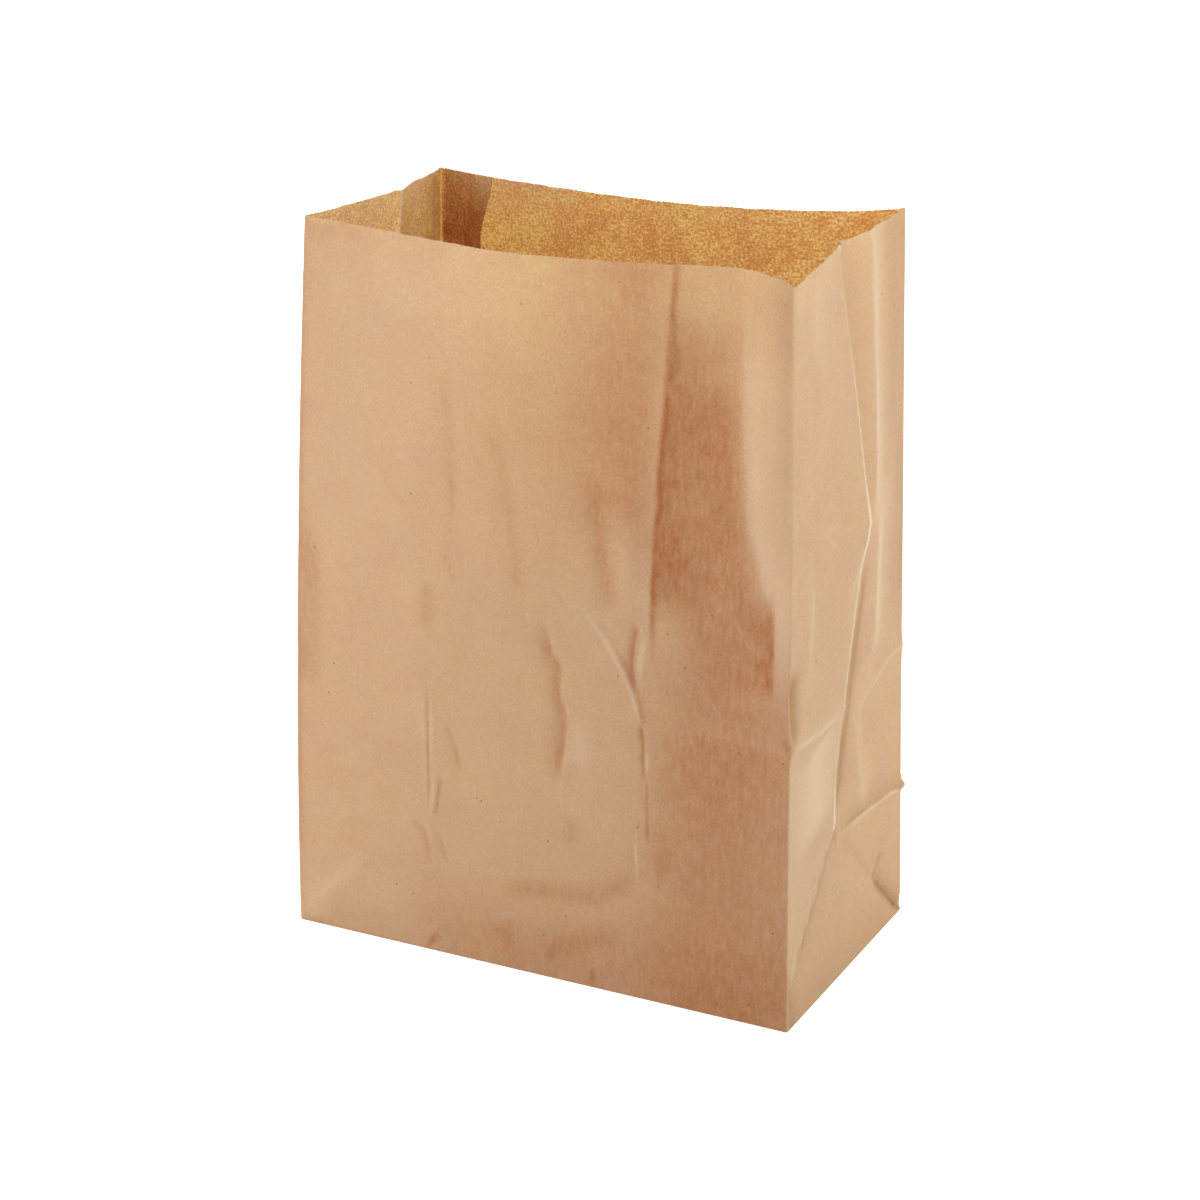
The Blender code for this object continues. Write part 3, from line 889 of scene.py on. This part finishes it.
# A second layout of the flat sheet for baked pictures: its outside above and its inside below, and the
# cut edge in a narrow border round the outside
MAP_BORDER = 4.0
EDGE_BORDER = 1.5
corners = corner_vertices(mesh)
corner_kinds = np.repeat(face_kinds, [len(face.vertices) for face in mesh.polygons])
x, y = (values[corners % side_vertices] for values in (along, up))
on_rim = (corner_kinds == CUT_EDGE) & (corners >= side_vertices)
past_end = np.where(x > SHEET_END - SAME, 1.0, np.where(x <= SHEET_START + SAME, -1.0, 0.0))
past_cut = np.where(y > HEIGHT - 0.5, 1.0, np.where(y < SAME - BOTTOM_REACH, -1.0, 0.0))
x = x + EDGE_BORDER * on_rim * past_end
y = y + EDGE_BORDER * on_rim * past_cut
map_width = along.max() - along.min() + 2 * MAP_BORDER
map_height = up.max() - up.min() + 2 * MAP_BORDER
y = y - up.min() + MAP_BORDER + map_height * (corner_kinds != INSIDE)
bake_map = mesh.uv_layers.new(name="OFBake")
places_on_map = np.stack([(x - along.min() + MAP_BORDER) / map_width, y / (2 * map_height)], -1)
bake_map.data.foreach_set("uv", places_on_map.ravel())


def empty_tree(owner):
    """The shader nodes of a material or the world, with none there yet."""
    owner.use_nodes = True
    owner.node_tree.nodes.clear()
    return owner.node_tree


def node(tree, kind, inputs=None, **settings):
    """Adds a shader node. An input is another node's output to join it to, or a value."""
    made = tree.nodes.new("ShaderNode" + kind)
    for name, value in settings.items():
        setattr(made, name, value)
    for name, value in (inputs or {}).items():
        if isinstance(value, bpy.types.NodeSocket):
            tree.links.new(value, made.inputs[name])
        else:
            made.inputs[name].default_value = value
    return made


def math_node(tree, operation, *values):
    return node(tree, "Math", dict(enumerate(values)), operation=operation).outputs[0]


def times(tree, value, factor):
    return math_node(tree, "MULTIPLY", value, factor)


def painted(tree, mark):
    """The share of a mark, from the mesh."""
    return node(tree, "Attribute", attribute_name=mark).outputs["Fac"]


def noise(tree, place, scale, detail, roughness):
    """An even cloud from 0 to 1, with about one lump in each 1 / scale millimetres."""
    inputs = {"Vector": place, "Scale": scale, "Detail": detail, "Roughness": roughness}
    return node(tree, "TexNoise", inputs, noise_dimensions="3D").outputs["Fac"]


def ranged(tree, value, low, high, to_low=0.0, to_high=1.0):
    """Stretches value from low..high to to_low..to_high, and holds it within them."""
    inputs = {"Value": value, "From Min": low, "From Max": high, "To Min": to_low, "To Max": to_high}
    return node(tree, "MapRange", inputs).outputs["Result"]


def mixed(tree, share, first, second):
    """The first colour with this share of the second in it."""
    made = node(tree, "Mix", data_type="RGBA")
    for socket, value in ((made.inputs[0], share), (made.inputs[6], first), (made.inputs[7], second)):
        if isinstance(value, bpy.types.NodeSocket):
            tree.links.new(value, socket)
        else:
            socket.default_value = value
    return made.outputs[2]


def layered(tree, colour, *layers):
    """A colour with others laid over it in turn, each given as its share and itself."""
    for share, over in layers:
        colour = mixed(tree, share, colour, over)
    return colour


def drawn_out(tree, place, across, upward, roughness):
    """A cloud with so many lumps to a millimetre across and upward."""
    stretched = node(tree, "Mapping", {"Vector": place, "Scale": (across, upward, 1)})
    return noise(tree, stretched.outputs["Vector"], 1.0, 3, roughness)


# Unbleached kraft: its pulp lies in cloudy flocs, which show as golden mottling where light comes through
# the single sheet, most of all inside the back. The outside is evener, with fine fibres, dark specks of
# bark, pale lines where folds have rubbed, and bruises where it was bent. Painted light lies in the
# reflected colour too: a painted golden glow of light coming through, painted highlights with the pale
# lines, and painted shade with the bruises.
REFLECTED = (0.635, 0.455, 0.335, 1)
REFLECTED_DARK = (0.56, 0.345, 0.215, 1)
THROUGH_THIN = (1.0, 0.94, 0.42, 1)
THROUGH_THICK = (0.44, 0.18, 0.05, 1)
BARK = (0.16, 0.075, 0.035, 1)
# Bruises with painted shade, pale rubbing with painted highlights, and a painted golden glow of light
# coming through the sheet
BRUISED_AND_SHADED = (0.47, 0.142, 0.04, 1)
BRUISED_AND_SHADED_THIN = (0.64, 0.25, 0.08, 1)
DULLED_AND_SHADED = (0.47, 0.235, 0.10, 1)
RUBBED_AND_HIGHLIT = (0.83, 0.67, 0.51, 1)
PAINTED_GLOW_THIN = (1.0, 0.76, 0.38, 1)
PAINTED_GLOW_THICK = (0.95, 0.42, 0.14, 1)

# The three sizes of flocs: how many to a millimetre, how rough and what share. The paper goes from thick
# to thin between so far below and above their middle, over how cloudy it is.
FLOCS = ((1.0, 0.65, 0.62), (0.25, 0.5, 0.2), (0.045, 0.5, 0.18))
FLOCS_MIDDLE = 0.49
FLOCS_BELOW = 0.4
FLOCS_ABOVE = 0.8

# Fibres and the streaks in bruises and painted shade across and upward, broad clouds, and cells with a
# speck of bark: how many to a millimetre. The speck's edge is in cells, and the share left out has none.
FIBRES = (2.2, 0.9)
STREAKS = (0.45, 0.15)
CLOUDS = 0.07
BARK_CELLS = 0.11
BARK_EDGE = (0.035, 0.06)
BARK_LEFT_OUT = 0.62

# How strongly each shows in the reflected colour and shades the light that comes through, and how much
# painted golden glow all the paper has
CLOUDS_SHOW = 0.28
FIBRES_SHOW = 0.06
BARK_SHOWS = 0.75
BARK_SHADES = 0.6
BRUISE_AND_SHADE_DIM = 0.5
RUBBING_AND_HIGHLIGHT_SHOW = 0.8
RUBBING_AND_HIGHLIGHT_SHUT_OUT = 0.7
PAINTED_GLOW_AT_LEAST = 0.2


def kraft_paper(name, cloudy, thin_all_over, rubbed_all_over, painted_glow, painted_glow_where, see_through):
    """The paper's material. cloudy is how sharply its thin and thick places part, thin_all_over how thin
    the thickest are, rubbed_all_over how worn all of it is, painted_glow how much more painted golden
    glow it has where the mesh's painted_glow_where says so, and see_through the share of the light that
    goes in."""
    material = bpy.data.materials.new(name)
    tree = empty_tree(material)
    place = node(tree, "UVMap", uv_map="sheet").outputs["UV"]

    # What the pulp is like at each place
    flocs = 0.0
    for lumps, roughness, share in FLOCS:
        flocs = math_node(tree, "MULTIPLY_ADD", noise(tree, place, lumps, 2, roughness), share, flocs)
    flocs = ranged(tree, flocs, FLOCS_MIDDLE - FLOCS_BELOW / cloudy, FLOCS_MIDDLE + FLOCS_ABOVE / cloudy)
    fibres = drawn_out(tree, place, *FIBRES, 0.65)
    clouds = noise(tree, place, CLOUDS, 4, 0.55)
    cells = node(tree, "TexVoronoi", {"Vector": place, "Scale": BARK_CELLS, "Randomness": 1.0}).outputs
    lot = node(tree, "SeparateColor", {"Color": cells["Color"]}).outputs[0]
    bark_kept = math_node(tree, "GREATER_THAN", lot, BARK_LEFT_OUT)
    bark = times(tree, ranged(tree, cells["Distance"], *BARK_EDGE, 1, 0), bark_kept)

    # How much it has been bruised and rubbed there, with painted shade and painted highlights
    streaks = ranged(tree, drawn_out(tree, place, *STREAKS, 0.6), 0.3, 0.7, 0.65, 1.35)
    bruised_and_shaded = times(tree, painted(tree, "bruised_and_shaded"), streaks)
    worn_and_highlit = math_node(tree, "MAXIMUM", painted(tree, "rubbed_and_highlit"), rubbed_all_over)

    # The colour it reflects, with painted glow, painted shade and painted highlights in it, and the
    # colour that comes through it
    painted_glow = math_node(tree, "MULTIPLY_ADD", painted(tree, painted_glow_where), painted_glow, PAINTED_GLOW_AT_LEAST)
    reflected = layered(
        tree,
        REFLECTED,
        (ranged(tree, clouds, 0.3, 0.7, CLOUDS_SHOW, 0), REFLECTED_DARK),
        (ranged(tree, fibres, 0.25, 0.75, FIBRES_SHOW, 0), REFLECTED_DARK),
        (times(tree, bark, BARK_SHOWS), BARK),
        (painted_glow, mixed(tree, flocs, PAINTED_GLOW_THICK, PAINTED_GLOW_THIN)),
        (bruised_and_shaded, mixed(tree, flocs, BRUISED_AND_SHADED, BRUISED_AND_SHADED_THIN)),
        (painted(tree, "dulled_and_shaded"), DULLED_AND_SHADED),
        (times(tree, worn_and_highlit, RUBBING_AND_HIGHLIGHT_SHOW), RUBBED_AND_HIGHLIT),
    )
    through = layered(
        tree,
        THROUGH_THICK,
        (ranged(tree, flocs, 0.0, 1.0, thin_all_over), THROUGH_THIN),
        (times(tree, bruised_and_shaded, BRUISE_AND_SHADE_DIM), THROUGH_THICK),
        (times(tree, bark, BARK_SHADES), BARK),
    )

    # The matt sheet with its fine grain, and how much light it lets in
    grain = math_node(tree, "MULTIPLY_ADD", fibres, 0.5, times(tree, flocs, 0.5))
    bump = node(tree, "Bump", {"Height": grain, "Strength": 0.05, "Distance": 0.00005})
    paper = node(tree, "BsdfPrincipled", {
        "Base Color": reflected, "Roughness": 0.55, "Specular IOR Level": 0.5,
        "Normal": bump.outputs["Normal"],
    })
    glow = node(tree, "BsdfTranslucent", {"Color": through})
    let_in = math_node(tree, "MULTIPLY_ADD", worn_and_highlit, -RUBBING_AND_HIGHLIGHT_SHUT_OUT * see_through, see_through)
    both = node(tree, "MixShader", {0: let_in, 1: paper.outputs[0], 2: glow.outputs[0]})
    node(tree, "OutputMaterial", {"Surface": both.outputs[0]})
    return material


# The paper's two faces and its cut edge
for name, *looks in (
    ("kraft_outside", 3.2, 0.65, 0.0, 0.17, "painted_glow_outside", 0.38),
    ("kraft_inside", 7.6, 0.0, 0.0, 0.72, "painted_glow_inside", 0.36),
    ("kraft_cut_edge", 3.2, 0.65, 0.5, 0.0, "painted_glow_outside", 0.38),
):
    mesh.materials.append(kraft_paper(name, *looks))
mesh.polygons.foreach_set("material_index", face_kinds)
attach(bag, "root")
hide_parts("paper_bag")

# The camera of the photograph: how far round to the right and how high it stands, in degrees, and how
# far off, and where its middle looks, in bag heights
CAMERA_ROUND = 26.73
CAMERA_HIGH = 20.495
CAMERA_TILT = -0.14
CAMERA_OFF = 4.016
CAMERA_SIDE = -0.0012
CAMERA_LIFT = -0.0297
turn, high, tilt = (math.radians(x) for x in (CAMERA_ROUND, CAMERA_HIGH, CAMERA_TILT))
back = Vector((math.sin(turn) * math.cos(high), -math.cos(turn) * math.cos(high), math.sin(high)))
level = Vector((math.cos(turn), math.sin(turn), 0))
rise = back.cross(level)
right = math.cos(tilt) * level + math.sin(tilt) * rise
rise = -math.sin(tilt) * level + math.cos(tilt) * rise
height = cad_box[1].z
spot = (back * CAMERA_OFF + right * CAMERA_SIDE + rise * CAMERA_LIFT + Vector((0, 0, 0.5))) * height
camera_data = bpy.data.cameras.new("camera")
camera_data.lens = 90
camera_data.sensor_width = 36
camera_data.clip_start = 0.05
camera = placed("camera", camera_data)
camera.matrix_world = Matrix.Translation(spot) @ Matrix((right, rise, back)).transposed().to_4x4()
bpy.context.scene.camera = camera

# The surroundings: plain white to the eye and in reflections, and nearly dark as a light on the bag
SURROUNDINGS_LIGHT = 0.02
bpy.context.scene.view_settings.view_transform = "Standard"


def seen_or_mirrored(tree):
    """1 where the camera or a glossy surface looks at the background, else 0."""
    path = node(tree, "LightPath").outputs
    return math_node(tree, "MAXIMUM", path["Is Camera Ray"], path["Is Glossy Ray"])


world = bpy.data.worlds.new("studio")
tree = empty_tree(world)
seen = seen_or_mirrored(tree)
white = node(tree, "Background", {"Color": (1, 1, 1, 1), "Strength": 1.0})
dim = node(tree, "Background", {"Color": (1, 1, 1, 1), "Strength": SURROUNDINGS_LIGHT})
either = node(tree, "MixShader", {0: seen, 1: dim.outputs[0], 2: white.outputs[0]})
node(tree, "OutputWorld", {"Surface": either.outputs[0]})
bpy.context.scene.world = world

# The floor: a wide matt white board. To the eye it brightens away from the bag to the white of the
# surroundings, so that it has no edge.
FLOOR_REACH = 8.0
FLOOR_WHITE = (0.8, 0.8, 0.8, 1)
LIFT_NEAR = 0.74
LIFT_FAR = 1.0
LIFT_RISES = (0.25, 1.2)
floor_paint = bpy.data.materials.new("white_floor")
tree = empty_tree(floor_paint)
seen = seen_or_mirrored(tree)
paint = node(tree, "BsdfDiffuse", {"Color": FLOOR_WHITE})
away = node(tree, "VectorMath", {0: node(tree, "NewGeometry").outputs["Position"]}, operation="LENGTH")
lift = ranged(tree, away.outputs["Value"], *LIFT_RISES, LIFT_NEAR, LIFT_FAR)
lift = times(tree, seen, lift)
lifted = node(tree, "Emission", {"Color": (1, 1, 1, 1), "Strength": lift})
both = node(tree, "AddShader", {0: paint.outputs[0], 1: lifted.outputs[0]})
node(tree, "OutputMaterial", {"Surface": both.outputs[0]})
floor_mesh = bpy.data.meshes.new("floor")
floor_corners = [(x * FLOOR_REACH, y * FLOOR_REACH, 0) for x, y in ((-1, -1), (1, -1), (1, 1), (-1, 1))]
floor_mesh.from_pydata(floor_corners, [], [(0, 1, 2, 3)])
floor_mesh.materials.append(floor_paint)
floor = placed("floor", floor_mesh)

# The lamps: ten soft squares turned to the bag's middle, each with name, place in metres, size, power
# and colour. Four stand in front and to the left, the strongest of them high up, two on the right, and
# four behind, which shine through the paper.
WARM = (0.98, 0.98, 0.915)
SIDE_TINT = (0.93, 1, 0.9)
COOL = (0.98, 0.94, 0.97)
LAMPS = (
    ("near_left_light", (-0.47, -0.4, 0.15), 0.3, 1.25, WARM),
    ("left_light", (-0.94, -0.54, 0.52), 0.6, 2.6, WARM),
    ("low_front_light", (0, -1.08, 0.52), 0.6, 1.4, WARM),
    ("front_light", (0.34, -0.66, 1.01), 0.6, 7, WARM),
    ("right_light", (1.12, 0, 0.41), 0.6, 5, SIDE_TINT),
    ("right_rear_light", (1.04, 0.42, 0.41), 0.5, 3.6, SIDE_TINT),
    ("left_rear_light", (-1.01, 0.47, 0.43), 0.6, 1.8, COOL),
    ("back_light", (-0.81, 0.78, 0.39), 0.5, 12.5, COOL),
    ("left_back_light", (-0.47, 1.01, 0.43), 0.8, 4, COOL),
    ("right_back_light", (0.29, 1.07, 0.43), 0.8, 2.4, COOL),
)
BAG_MIDDLE = Vector((0, 0, 0.13))
for name, spot, size, power, colour in LAMPS:
    lamp = bpy.data.lights.new(name, "AREA")
    lamp.shape = "SQUARE"
    lamp.size = size
    lamp.energy = power
    lamp.color = colour
    item = placed(name, lamp)
    item.location = spot
    item.rotation_euler = (BAG_MIDDLE - Vector(spot)).to_track_quat("-Z", "Y").to_euler()
